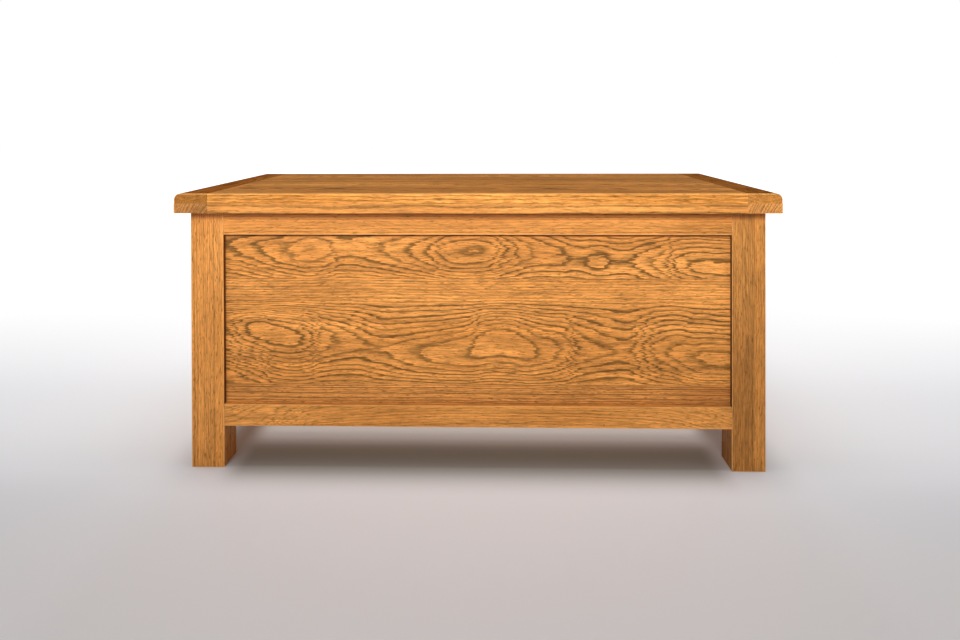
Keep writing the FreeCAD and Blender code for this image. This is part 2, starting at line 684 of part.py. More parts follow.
def make_plate(end):
    """The plate on a side's top rail that holds the stud."""
    plate = thick_slab(
        end, f"{RAIL_INNER_X} - Dims.stay_thick", "Dims.stay_thick", "Dims.plate_length",
        "Dims.plate_height", f"{STUD_Y} - Dims.plate_length / 2", f"{STUD_Z} - Dims.plate_height / 2",
    )
    hole = rod(
        end, "Dims.stud_radius", f"{RAIL_INNER_X} - Dims.stay_thick - Dims.cut_spare",
        "Dims.stay_thick + 2 * Dims.cut_spare", STUD_Y, STUD_Z,
    )
    seats = plate_screws(end, countersink, "Dims.stay_thick + Dims.cut_spare")
    return node(cut(plate, hole, *seats), f"stay_plate_{end}")


def make_stud(end):
    """The turned stud: a tail in the plate, a collar, the pin in the slot, and a head."""
    collar_start = f"({ARM_OUTER} + Dims.stay_play)"
    plate_face = f"({RAIL_INNER_X} - Dims.stay_thick)"
    head_start = "(Dims.stay_plane - Dims.stay_play - Dims.stud_head_thick)"
    shaft = rod(
        end, "Dims.stud_radius", head_start, f"{RAIL_INNER_X} - {head_start}", STUD_Y, STUD_Z
    )
    collar = rod(
        end, "Dims.stud_collar", collar_start, f"{plate_face} - {collar_start}", STUD_Y, STUD_Z
    )
    head = rod(end, "Dims.stud_collar", head_start, "Dims.stud_head_thick", STUD_Y, STUD_Z)
    return fused(shaft, collar, head)


# ---- lid --------------------------------------------------------------------------------------

LID_INNER_X = f"({HALF_LID} - Dims.end_width)"
# The long boards of the top layer, front to back, as shares of the lid's depth.
LID_BOARDS = (("front", 0.27), ("front_middle", 0.23), ("back_middle", 0.26), ("back", 0.24))


def make_lid_boards():
    """The long boards of the top layer, each with a tongue on both ends."""
    tongue_low = f"{LID_MIDDLE} + (Dims.ply_thick - Dims.tongue_thick) / 2"
    before = 0.0
    for name, share in LID_BOARDS:
        front = f"({LID_FRONT} + {before:.4f} * Dims.lid_depth)"
        depth = f"({share} * Dims.lid_depth)"
        plank = box(
            f"2 * {LID_INNER_X}", depth, "Dims.ply_thick", f"-{LID_INNER_X}", front, LID_MIDDLE
        )
        front_stop = "Dims.tongue_stop + Dims.cut_spare" if name == "front" else "0"
        back_stop = "Dims.tongue_stop + Dims.cut_spare" if name == "back" else "0"
        tongue = box(
            f"2 * ({LID_INNER_X} + Dims.tongue_length)", f"{depth} - ({front_stop}) - ({back_stop})",
            "Dims.tongue_thick", f"-({LID_INNER_X} + Dims.tongue_length)", f"{front} + ({front_stop})",
            tongue_low,
        )
        board = fused(plank, tongue)
        if name in ("front", "back"):
            board = eased(board, "Dims.lid_arris", rim_edge)
        node(board, f"lid_board_{name}")
        before += share


def rim_edge(edge):
    """Long top edges that lie on the lid's front or back face."""
    b = edge.BoundBox
    top = float(sheet.get("overall_height"))
    rims = (doc_value(LID_FRONT), doc_value(BACK))
    return (
        b.XLength > 100
        and abs(b.ZMin - top) < 0.01
        and b.ZLength < 0.01
        and min(abs(b.YMin - rim) + abs(b.YMax - rim) for rim in rims) < 0.02
    )


def doc_value(expression):
    """The value of an expression on the sheet, in millimetres."""
    return float(sheet.evalExpression(expression))


def end_body(end, section_name, low, breadboard):
    """A board across one end of the lid, as deep as the lid. Its own X points outwards. A breadboard
    end is grooved for the tongues and rounded along its top; a strip is only eased underneath."""
    body = doc.addObject("PartDesign::Body", "LidEnd")
    section = rectangle(
        body, section_name, "XY_Plane", "0", "0", "Dims.end_width", "Dims.lid_depth"
    )
    pad(body, section, "Dims.ply_thick")
    width, thick = (float(sheet.get(name)) for name in ("end_width", "ply_thick"))
    if breadboard:
        groove = rectangle(
            body, "TongueGroove", "YZ_Plane", "Dims.tongue_stop",
            "(Dims.ply_thick - Dims.tongue_thick) / 2", "Dims.lid_depth - 2 * Dims.tongue_stop",
            "Dims.tongue_thick",
        )
        pocket(body, groove, "Dims.tongue_length + Dims.cut_spare", flip=True)
        fillet(
            body, "Dims.end_round",
            lambda e: spans(e, "Y") > 100 and e.BoundBox.XMin > width - 0.01
            and e.BoundBox.ZMin > thick - 0.01,
        )
        fillet(
            body, "Dims.lid_arris",
            lambda e: spans(e, "Y") < 0.01 and e.BoundBox.ZMax > thick - 0.01
            and (spans(e, "X") > 20 or (spans(e, "X") > 5 and spans(e, "Z") > 5)),
        )
    else:
        fillet(
            body, "Dims.lid_arris",
            lambda e: spans(e, "Y") > 100 and e.BoundBox.XMin > width - 0.01
            and e.BoundBox.ZMax < 0.01,
        )
    # The left end is the right end turned half round, so both have the same section.
    if end == RIGHT:
        place(body, LID_INNER_X, LID_FRONT, low)
    else:
        place(body, f"-{LID_INNER_X}", BACK, low, FreeCAD.Rotation(Z_AXIS, 180))
    return body


def long_strip(front):
    """A long strip under the lid's front or back rim."""
    return box(
        f"2 * {LID_INNER_X}", "Dims.end_width", "Dims.ply_thick", f"-{LID_INNER_X}", front, LID_UNDER
    )


# ---- floor boards -----------------------------------------------------------------------------

FLOOR_BOARDS = 5


def make_floor_boards():
    """Tongued boards from front to back, resting on the battens; the outer two clear the posts."""
    half = f"({HALF_CARCASS} - {RAIL_INSIDE} - Dims.board_play)"
    width = f"(2 * {half} / {FLOOR_BOARDS})"
    front = f"({FRONT} + {RAIL_INSIDE} + Dims.board_play)"
    length = f"({BACK} - {FRONT} - 2 * {RAIL_INSIDE} - 2 * Dims.board_play)"
    third = "(Dims.board_thick / 3)"
    for number in range(FLOOR_BOARDS):
        left = f"(-{half} + {number} * {width})"
        board = box(width, length, "Dims.board_thick", left, front, BOARDS_LOW)
        if number < FLOOR_BOARDS - 1:
            tongue = box(
                "Dims.board_tongue", length, third, f"{left} + {width}", front,
                f"{BOARDS_LOW} + {third}",
            )
            board = fused(board, tongue)
        removed = []
        if number > 0:
            removed.append(
                box(
                    "Dims.board_tongue + Dims.tongue_play", length, third, left, front,
                    f"{BOARDS_LOW} + {third}",
                )
            )
        if number in (0, FLOOR_BOARDS - 1):
            removed += post_clearances(-1 if number == 0 else 1)
        node(cut(board, *removed), f"floor_board_{number + 1}")


def post_clearances(sign):
    """Blocks that clear the two posts at one end of the chest."""
    side = "(Dims.post_size + Dims.board_play)"
    inner = f"({HALF_CARCASS} - {side})"
    x = inner if sign > 0 else f"-{HALF_CARCASS}"
    return [
        box(side, side, "2 * Dims.board_thick", x, y, f"{BOARDS_LOW} - Dims.board_thick / 2")
        for y in (FRONT, f"{BACK} - {side}")
    ]


# ---- assembly ---------------------------------------------------------------------------------


def build_carcass():
    """Posts, rails, panels, battens, floor boards and the hardware fixed to them."""
    corners = (
        ("post_front_left", f"-{HALF_CARCASS}", FRONT, 0),
        ("post_front_right", HALF_CARCASS, FRONT, 90),
        ("post_back_right", HALF_CARCASS, BACK, 180),
        ("post_back_left", f"-{HALF_CARCASS}", BACK, 270),
    )
    for label, x, y, turn in corners:
        make_post(label, x, y, turn)
    for side in SIDES:
        top = make_rail(side, True)
        if side == "back":
            beds = hinge_recesses(f"{CARCASS_TOP} - Dims.leaf_thick")
            holes = hinge_holes(pilot, CARCASS_TOP, NO_TURN, "Dims.screw_length")
            top = cut(cut(top, *beds), *holes)
        elif side in (LEFT, RIGHT):
            top = cut(top, *plate_screws(side, pilot, "Dims.screw_length"))
        node(top, f"{side}_top_rail")
        bottom = cut(
            make_rail(side, False), *cleat_holes(side, pilot, "Dims.cleat_screw_length")
        )
        node(bottom, f"{side}_bottom_rail")
        make_panel(side)
        make_cleat(side)
    make_floor_boards()
    screws = [s for side in SIDES for s in cleat_holes(side, screw, "Dims.cleat_screw_length")]
    node(grouped(screws), "batten_screws")
    for hinge in HINGES:
        make_leaf(hinge, False)
    node(grouped([make_pin(middle) for middle in HINGES.values()]), "hinge_pins")
    for end in (LEFT, RIGHT):
        make_plate(end)
    node(grouped([make_stud(end) for end in (LEFT, RIGHT)]), "stay_studs")
    hardware = hinge_holes(screw, CARCASS_TOP, NO_TURN, "Dims.screw_length")
    for end in (LEFT, RIGHT):
        hardware += plate_screws(end, screw, "Dims.screw_length")
    node(grouped(hardware), "carcass_hardware_screws")
    buffers = [
        cylinder(
            "Dims.buffer_radius", "Dims.lid_gap", f"{sign} * ({HALF_CARCASS} - Dims.post_size / 2)",
            f"{FRONT} + Dims.post_size / 2", CARCASS_TOP,
        )
        for sign in (-1, 1)
    ]
    node(grouped(buffers), "lid_buffers")


def build_lid():
    """The two layers of the lid and the hardware that turns with them."""
    make_lid_boards()
    leaf_top = f"{AXIS_Z} + Dims.lid_gap / 2"
    for end in (LEFT, RIGHT):
        node(end_body(end, "BreadboardSection", LID_MIDDLE, True), f"breadboard_end_{end}")
        strip = end_body(end, "StripSection", LID_UNDER, False)
        node(cut(strip, *bracket_screws(end, pilot, "Dims.screw_length")), f"lid_strip_{end}")
    node(long_strip(LID_FRONT), "lid_strip_front")
    back_strip = cut(long_strip(f"({BACK} - Dims.end_width)"), *hinge_recesses(leaf_top))
    holes = hinge_holes(pilot, leaf_top, TO_MINUS_Z, "Dims.screw_length")
    node(cut(back_strip, *holes), "lid_strip_back")
    for hinge in HINGES:
        make_leaf(hinge, True)
    for end in (LEFT, RIGHT):
        make_bracket(end)
    node(grouped([make_rivet(end) for end in (LEFT, RIGHT)]), "stay_rivets")
    hardware = hinge_holes(screw, leaf_top, TO_MINUS_Z, "Dims.screw_length")
    for end in (LEFT, RIGHT):
        hardware += bracket_screws(end, screw, "Dims.screw_length")
    node(grouped(hardware), "lid_hardware_screws")


def check():
    """Stops the build if an object failed, a cut removed nothing, or a shape is not sound."""
    failed = [obj.Label for obj in doc.Objects if {"Invalid", "Error"} & set(obj.State)]
    if failed:
        raise RuntimeError(f"failed to build: {failed}")
    idle = [f.Label for f, base in cuts if f.Shape.Volume > base.Shape.Volume - 0.01]
    if idle:
        raise RuntimeError(f"these cuts removed nothing: {idle}")
    for obj in nodes:
        if obj.Shape.isNull() or not obj.Shape.isValid() or not obj.Shape.Solids:
            raise RuntimeError(f"{obj.Label} is not a sound solid")


def write():
    os.makedirs("parts", exist_ok=True)
    for obj in nodes:
        obj.Shape.exportStep(f"parts/{obj.Label}.step")
    print(f"{len(nodes)} sub-parts written")


build_carcass()
build_lid()
for end in (LEFT, RIGHT):
    make_arm(end)
doc.recompute()
check()
write()
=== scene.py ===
"""Looks of the oak blanket chest: oiled oak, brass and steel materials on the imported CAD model,
a pale studio floor, soft light and the camera."""

import math

import bpy
from mathutils import Matrix, Vector


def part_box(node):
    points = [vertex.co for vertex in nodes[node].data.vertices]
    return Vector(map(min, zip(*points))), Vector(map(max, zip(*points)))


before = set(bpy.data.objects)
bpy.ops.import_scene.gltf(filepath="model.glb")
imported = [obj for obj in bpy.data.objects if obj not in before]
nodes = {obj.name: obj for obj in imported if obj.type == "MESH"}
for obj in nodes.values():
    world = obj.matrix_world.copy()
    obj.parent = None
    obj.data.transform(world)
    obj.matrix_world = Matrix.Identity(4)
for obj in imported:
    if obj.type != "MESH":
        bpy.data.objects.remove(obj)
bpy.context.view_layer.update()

# Where the chest stands, in metres: its front face, its right end, and its top rail's two edges.
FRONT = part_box("post_front_left")[0].y
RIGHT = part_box("post_front_right")[1].x
RAIL_UNDERSIDE, RAIL_TOP = (corner.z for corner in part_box("front_top_rail"))

# The way the grain runs on each side of the chest, and the way that side looks.
SIDES = {"front": ("x", "-y"), "back": ("x", "+y"), "left": ("y", "-x"), "right": ("y", "+x")}


def srgb(red, green, blue):
    """A colour given as 0 to 255 display values, as linear red, green, blue and alpha."""
    values = [v / 255 for v in (red, green, blue)]
    return [v / 12.92 if v < 0.04045 else ((v + 0.055) / 1.055) ** 2.4 for v in values] + [1.0]


class Graph:
    """A material's nodes. Each call adds one node or a few and returns an output; an argument is
    either another node's output or a constant."""

    def __init__(self, name):
        self.material = bpy.data.materials.new(name)
        self.material.use_nodes = True
        self.tree = self.material.node_tree
        self.shader = self.tree.nodes["Principled BSDF"]

    def put(self, socket, value):
        """Links an output to the socket, or sets the socket's constant."""
        if isinstance(value, bpy.types.NodeSocket):
            self.tree.links.new(value, socket)
        else:
            socket.default_value = value

    def made(self, kind, inputs, **settings):
        """Adds a node and returns the node itself."""
        node = self.tree.nodes.new("ShaderNode" + kind)
        for key, value in settings.items():
            setattr(node, key, value)
        for key, value in inputs.items():
            self.put(node.inputs[key], value)
        return node

    def add(self, kind, inputs, output=0, **settings):
        """Adds a node and returns one of its outputs."""
        return self.made(kind, inputs, **settings).outputs[output]

    def math(self, operation, *values):
        return self.add("Math", dict(enumerate(values)), operation=operation)

    def total(self, first, *rest):
        for value in rest:
            first = self.math("ADD", first, value)
        return first

    def product(self, first, *rest):
        for value in rest:
            first = self.math("MULTIPLY", first, value)
        return first

    def scaled(self, value, factor, offset=0.0):
        return self.math("MULTIPLY_ADD", value, factor, offset)

    def between(self, value, low, high):
        """low where the value is 0, high where it is 1."""
        return self.scaled(value, high - low, low)

    def fade(self, value, start, end):
        """0 at start, 1 at end and smooth between; start may be the larger."""
        return self.add(
            "MapRange", {"Value": value, "From Min": start, "From Max": end},
            interpolation_type="SMOOTHSTEP",
        )

    def split(self, vector):
        return list(self.made("SeparateXYZ", {0: vector}).outputs)

    def vector(self, x, y, z):
        return self.add("CombineXYZ", {0: x, 1: y, 2: z})

    def stretched(self, place, scales, shift=0.0):
        """A place measured in features per metre along each axis."""
        return self.add(
            "VectorMath", {0: place, 1: scales, 2: (shift, 1.7 * shift, 0.6 * shift)},
            operation="MULTIPLY_ADD",
        )

    def noise(self, vector, detail=2.0, roughness=0.5):
        return self.add(
            "TexNoise", {"Vector": vector, "Scale": 1.0, "Detail": detail, "Roughness": roughness}
        )

    def noise_along(self, value, detail=1.0):
        return self.add(
            "TexNoise", {"W": value, "Scale": 1.0, "Detail": detail}, noise_dimensions="1D"
        )

    def random(self, value):
        return self.add("TexWhiteNoise", {"W": value}, noise_dimensions="1D")

    def steps(self, value, stops):
        """A curve of straight runs through (position, level) pairs, as a ramp of greys."""
        ramp = self.made("ValToRGB", {0: value})
        elements = ramp.color_ramp.elements
        while len(elements) < len(stops):
            elements.new(1.0)
        for element, (position, level) in zip(elements, stops):
            element.position = position
            element.color = (level, level, level, 1.0)
        return ramp.outputs[0]

    def spline(self, value, points):
        """A smooth curve through (x, y) pairs in any units, flat beyond its ends."""
        xs, ys = zip(*points)
        low, high = min(ys), max(ys)
        position = self.add("MapRange", {"Value": value, "From Min": xs[0], "From Max": xs[-1]})
        node = self.made("FloatCurve", {"Value": position})
        curve = node.mapping.curves[0]
        shares = [((x - xs[0]) / (xs[-1] - xs[0]), (y - low) / (high - low)) for x, y in points]
        for share in shares[1:-1]:
            curve.points.new(*share)
        curve.points[0].location, curve.points[-1].location = shares[0], shares[-1]
        node.mapping.update()
        return self.between(node.outputs[0], low, high)

    def mix(self, factor, a, b, blend="MIX"):
        node = self.made("Mix", {}, data_type="RGBA", blend_type=blend)
        for index, value in ((0, factor), (6, a), (7, b)):
            self.put(node.inputs[index], value)
        return node.outputs[2]

    def tinted(self, colour, tint, amount=1.0):
        """The colour seen through a tint, where amount is 1."""
        return self.mix(amount, colour, tint, "MULTIPLY")

    def grey(self, value):
        return self.vector(value, value, value)

    def finish(self, colour, roughness, height, depth, **constants):
        """Wires the shader: height is the relief from 0 to 1, and depth is its size in metres."""
        bump = self.add("Bump", {"Height": height, "Distance": depth, "Strength": 1.0})
        self.put(self.shader.inputs["Base Color"], colour)
        self.put(self.shader.inputs["Roughness"], roughness)
        self.put(self.shader.inputs["Normal"], bump)
        for key, value in constants.items():
            self.shader.inputs[key.replace("_", " ")].default_value = value
        return self.material


# ---- oak --------------------------------------------------------------------------------------

# The ground of the wood and its darker patches, and the rings in plain and in bold boards.
HONEY = srgb(234, 158, 78)
AMBER = srgb(208, 136, 62)
OLIVE = srgb(142, 96, 38)
FIGURE = srgb(132, 88, 34)

# What lies in the wood, and lighter edges: rubbed wear with a painted highlight where the eased edges catch
# the light.
PORE = srgb(108, 68, 26)
KNOT = srgb(70, 40, 16)
WEAR_AND_HIGHLIGHT = srgb(240, 178, 104)

# Tints over the wood's own colour: the end grain's, and painted shade in the creases beside the panels,
# under the lid and under the top rail.
END_GRAIN = srgb(216, 214, 188)
CREASE_SHADE = srgb(96, 42, 16)
SHADE_BELOW_LID = srgb(146, 118, 66)
SHADE_BELOW_RAIL = srgb(128, 96, 70)

# The textures of the wood: features per metre along the grain and across it, a shift that sets
# each apart from the others, layers of finer detail, and how strong the finer layers are.
TEXTURES = {
    "teeth": (16, 330, 1.1, 1.0, 0.5),
    "fine_teeth": (50, 900, 2.3, 1.0, 0.5),
    "waves": (5, 20, 3.1, 1.0, 0.5),
    "ripple": (26, 85, 4.2, 2.0, 0.6),
    "breaks": (30, 300, 5.7, 1.0, 0.5),
    "strands": (32, 380, 6.3, 3.0, 0.7),
    "threads": (45, 1300, 7.9, 2.0, 0.5),
    "dashes": (85, 520, 9.4, 1.0, 0.5),
    "streaks": (1.6, 95, 8.2, 1.0, 0.5),
    "patches": (2.6, 13, 10.5, 2.0, 0.5),
    "bundles": (2.2, 8, 12.3, 1.0, 0.5),
}

# The dark early wood of one ring: how far across the ring, and how dark.
EARLY_WOOD = ((0.0, 0.0), (0.05, 0.9), (0.19, 1.0), (0.28, 0.5), (0.42, 0.12), (0.64, 0.0), (1.0, 0.0))


class Board:
    """How a board was cut from its log. Its grain runs along one axis, its show face looks along
    another, and the heart of the log runs along the board, off to one side of it or behind it."""

    def __init__(self, node, grain, face, heart=0.5, depth=0.06, path=None, depths=None):
        """heart is a share of the board's width and depth is metres behind the face; path and
        depths give them along the board instead, in metres, as points of a curve."""
        low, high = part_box(node)
        self.node, self.path, self.depths = node, path, depths
        self.along, self.into = "xyz".index(grain), "xyz".index(face[1])
        self.across = 3 - self.along - self.into
        self.sign = -1 if face[0] == "-" else 1
        self.face = (high if self.sign > 0 else low)[self.into]
        self.heart = low[self.across] + heart * (high[self.across] - low[self.across])
        self.depth = depth
        if path:
            self.heart = sum(place for _, place in path) / len(path)
            self.depth = sum(place for _, place in depths) / len(depths)


class Wood(Graph):
    """The solid wood of one board. Its textures are drawn out along the grain, and the seed sets
    them apart from every other board's."""

    def __init__(self, board, seed, stave_start):
        super().__init__("oak_" + board.node)
        self.board, self.seed = board, seed
        self.place = self.add("TexCoord", {}, output="Object")
        self.parts = self.split(self.place)
        self.along, self.across, self.into = (
            self.parts[axis] for axis in (board.along, board.across, board.into)
        )
        if stave_start is not None:
            # The second stave was cut further along the log and further out.
            further_along, further_out = 0.83, 0.061
            self.second = self.math("GREATER_THAN", self.across, stave_start)
            self.along = self.math("MULTIPLY_ADD", self.second, further_along, self.along)
            self.across = self.math("MULTIPLY_ADD", self.second, further_out, self.across)
        self.here = self.vector(self.along, self.across, self.into)

    def texture(self, name, place=None):
        """Noise from 0 to 1."""
        lengthwise, crosswise, shift, detail, roughness = TEXTURES[name]
        scales = (lengthwise, crosswise, crosswise)
        place = self.here if place is None else place
        return self.noise(self.stretched(place, scales, self.seed + shift), detail, roughness)

    def heart(self, wander, swell):
        """Where the heart of the log is across the board, and how deep it is behind the face."""
        board = self.board
        # Fibres slide along each other, which turns a line that crosses them into a row of teeth.
        teeth = self.total(
            self.along,
            self.between(self.texture("teeth"), -0.015, 0.015),
            self.between(self.texture("fine_teeth"), -0.004, 0.004),
        )
        if board.path:
            return self.spline(teeth, board.path), self.spline(teeth, board.depths)
        # A log's heart wanders two or three times in a metre.
        aside = self.noise_along(self.scaled(teeth, 2.3, self.seed))
        deeper = self.noise_along(self.scaled(teeth, 3.4, self.seed + 7.7))
        return (
            self.between(aside, board.heart - wander, board.heart + wander),
            self.between(deeper, board.depth - swell, board.depth + swell),
        )

    def rings(self, ring, start, uneven, wander, swell, straight):
        """The dark part of each ring round the heart, from 0 to 1."""
        board = self.board
        heart, behind = self.heart(wander, swell)
        # Rings far from the heart hardly follow its bends.
        near, far = 0.035, 0.095
        offset = self.math("SUBTRACT", self.across, board.heart)
        follow = self.fade(self.math("ABSOLUTE", offset), far, near)
        bend = self.product(follow, self.math("SUBTRACT", heart, board.heart))
        sideways = self.math("SUBTRACT", offset, bend)
        deep = self.math("MULTIPLY_ADD", follow, self.math("SUBTRACT", behind, board.depth), board.depth)
        inwards = self.math(
            "MULTIPLY_ADD", self.into, -board.sign, self.math("ADD", deep, board.sign * board.face)
        )
        squares = self.total(self.product(sideways, sideways), self.product(inwards, inwards))
        waves = self.between(self.texture("waves"), -0.0025, 0.0025)
        ripple = self.between(self.texture("ripple"), -0.0011, 0.0011)
        radius = self.total(self.math("SQRT", squares), waves, ripple)
        drift = self.noise_along(self.scaled(radius, 60.0, self.seed))
        drift = self.between(drift, start - uneven, start + uneven)
        number = self.math("MULTIPLY_ADD", radius, 1 / ring, drift)
        index, part = self.math("FLOOR", number), self.math("FRACT", number)
        bold = self.between(self.random(self.math("ADD", index, round(self.seed * 10))), 0.45, 1.0)
        broken = self.between(self.texture("breaks"), 0.55, 1.85)
        rings = self.product(self.steps(part, EARLY_WOOD), bold, broken)
        if straight != 1.0:
            rings = self.product(rings, self.between(follow, straight, 1.0))
        return rings

    def fibres(self):
        """Strands, finer threads, long streaks and the dashes of open pores, each from 0 to 1."""
        # The fibres drift a little across the board in bundles.
        bundles = self.between(self.texture("bundles"), -0.018, 0.018)
        drifting = self.vector(self.along, self.math("ADD", self.across, bundles), self.into)
        strands = self.texture("strands", drifting)
        threads = self.texture("threads", drifting)
        streaks = self.texture("streaks", drifting)
        dashes = self.fade(self.texture("dashes", drifting), 0.58, 0.72)
        return strands, threads, streaks, dashes

    def knots(self):
        """1 on a pin knot. The wood is in cells a seventh of a metre wide, and about half have one."""
        cells = self.stretched(self.here, (7.0, 7.0, 7.0), self.seed)
        cell = self.made("TexVoronoi", {"Vector": cells, "Scale": 1.0}, voronoi_dimensions="3D")
        has_knot = self.math("GREATER_THAN", self.split(cell.outputs["Color"])[0], 0.45)
        return self.product(self.fade(cell.outputs["Distance"], 0.021, 0.008), has_knot)

    def edge_wear_and_highlight(self, low, high):
        """1 within a millimetre or two of an edge of the box from low to high, ragged along it: where the
        edges are lighter, rubbed wear with a painted highlight.
        """
        ragged = self.noise(self.stretched(self.place, (60, 60, 60)), 3.0)
        ragged = self.between(ragged, -0.0015, 0.0015)
        near = []
        for value, least, most in zip(self.parts, low, high):
            middle, half = (least + most) / 2, (most - least) / 2
            from_middle = self.math("ABSOLUTE", self.math("SUBTRACT", value, middle))
            gap = self.math("SUBTRACT", half, from_middle)
            near.append(self.fade(self.math("ADD", gap, ragged), 0.0024, 0.0008))
        pairs = [self.product(near[a], near[b]) for a, b in ((0, 1), (1, 2), (0, 2))]
        return self.math("MAXIMUM", pairs[0], self.math("MAXIMUM", pairs[1], pairs[2]))

    def panel_crease_shade(self):
        """1 on the narrow faces of a post that stand proud of the panels, where shade is painted into the
        recess.
        """
        low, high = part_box("post_front_left")
        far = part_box("post_back_right")[1]
        panel_low, panel_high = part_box("front_panel_bottom_board")[0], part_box("front_panel_top_board")[1]
        middle, half = (low.y + far.y) / 2, (far.y - low.y) / 2
        post, recess, slack = high.x - low.x, panel_low.y - low.y, 0.0004
        x, z = self.math("ABSOLUTE", self.parts[0]), self.parts[2]
        y = self.math("ABSOLUTE", self.math("SUBTRACT", self.parts[1], middle))
        on_long = self.product(
            self.math("LESS_THAN", x, far.x - post + slack), self.math("GREATER_THAN", y, half - recess)
        )
        on_short = self.product(
            self.math("LESS_THAN", y, half - post + slack), self.math("GREATER_THAN", x, far.x - recess)
        )
        beside = self.product(
            self.math("GREATER_THAN", z, panel_low.z), self.math("LESS_THAN", z, panel_high.z)
        )
        return self.product(self.math("MAXIMUM", on_long, on_short), beside)

    def shade_band(self, strands, ragged, start, full):
        """A band of painted shade: 0 below the height start and 1 above the height full, with an edge
        that the strands make ragged by so many metres."""
        return self.fade(
            self.total(self.parts[2], self.between(strands, -ragged, ragged)), start, full
        )


def oak(
    board, seed=0.0, ring=0.005, start=0.0, uneven=0.9, wander=0.010, swell=0.010, straight=1.0,
    light=HONEY, dark=AMBER, line=OLIVE, contrast=0.85, fibre=1.2, speckle=0.4, end_tone=END_GRAIN,
    top_tone=1.0, sheen=0.18, worn=None, stave_start=None, creases=False, under_lid=False,
    under_rail=False,
):
    """Oiled oak with its figure worked out through the solid, so that it agrees on every face.

    The rings lie round the heart, ring metres apart. Where the heart comes nearer to the face and
    goes away again, they close into ovals; far to the side of it they run straight, and straight
    is how strongly they show there. start and uneven shift the rings and vary their spacing, in
    rings, and wander and swell move the heart aside and deeper, in metres.

    light and dark are the ground and its patches, and line is the rings' colour. contrast, fibre
    and speckle are how strongly the rings, the fibres and the pores between rings show. end_tone
    tints the end grain, top_tone darkens the face that looks up as painted shade, and sheen is how
    much the oil shines.

    worn is the box whose edges are lighter, with rubbed wear and a painted
    highlight; a second, lighter stave starts at stave_start across the board; and the rest paint
    shade into the creases beside the panels and in bands under the lid and the top rail.
    """
    g = Wood(board, seed, stave_start)
    rings = g.rings(ring, start, uneven, wander, swell, straight)
    strands, threads, streaks, dashes = g.fibres()
    pores = g.product(dashes, g.between(rings, speckle, 1.0))
    knots = g.knots()

    patches = g.fade(g.texture("patches"), 0.38, 0.62)
    colour = g.mix(g.scaled(patches, 0.8), light, dark)
    colour = g.mix(g.scaled(rings, contrast), colour, line)
    shade = g.total(
        g.between(strands, 1.0 - 0.625 * fibre, 1.0 + 0.625 * fibre),
        g.between(threads, -0.25 * fibre, 0.25 * fibre),
        g.between(streaks, -0.25 * fibre, 0.25 * fibre),
    )
    colour = g.tinted(colour, g.grey(shade))
    colour = g.mix(g.scaled(pores, 0.75), colour, PORE)
    colour = g.mix(g.scaled(knots, 0.8), colour, KNOT)

    facing = g.split(g.add("TexCoord", {}, output="Normal"))
    on_end = g.math("GREATER_THAN", g.math("ABSOLUTE", facing[board.along]), 0.8)
    colour = g.tinted(colour, end_tone, on_end)
    # Painted shade: the face that looks up is darker, as it takes less of the light.
    if top_tone != 1.0:
        top_shade_tint = [top_tone, top_tone ** 1.12, top_tone ** 1.2, 1.0]
        colour = g.tinted(colour, top_shade_tint, g.fade(facing[2], 0.55, 0.95))
    if stave_start is not None:
        lighter = 1.28
        colour = g.tinted(colour, (lighter, lighter, lighter, 1.0), g.second)
    # Lighter edges: rubbed wear, with a painted highlight where the eased edges catch the light.
    if worn is not None:
        colour = g.mix(g.scaled(g.edge_wear_and_highlight(*worn), 0.55), colour, WEAR_AND_HIGHLIGHT)
    # Painted shade on the posts' faces in the recess beside the panels.
    if creases:
        colour = g.tinted(colour, CREASE_SHADE, g.scaled(g.panel_crease_shade(), 0.85))
    # Painted shade on the wood just under the lid's overhang.
    if under_lid:
        below_lid = g.shade_band(strands, 0.003, RAIL_TOP - 0.016, RAIL_TOP - 0.004)
        colour = g.tinted(colour, SHADE_BELOW_LID, g.scaled(below_lid, 0.85))
    # Painted shade on the panel just under the top rail's lower edge.
    if under_rail:
        below_rail = g.shade_band(strands, 0.0015, RAIL_UNDERSIDE - 0.006, RAIL_UNDERSIDE - 0.0025)
        colour = g.tinted(colour, SHADE_BELOW_RAIL, below_rail)

    height = g.total(
        g.between(strands, 0.5, 1.0), g.scaled(pores, -0.6), g.scaled(rings, -0.25), g.scaled(knots, -0.3)
    )
    roughness = g.total(g.between(pores, 0.5, 0.7), g.between(strands, -0.06, 0.06))
    return g.finish(colour, roughness, height, depth=0.0005, Specular_IOR_Level=sheen)


def dress(node, material):
    """Gives a CAD node its material."""
    slots = nodes[node].data.materials
    slots.clear()
    slots.append(material)


def dress_board(board, **look):
    dress(board.node, oak(board, **look))


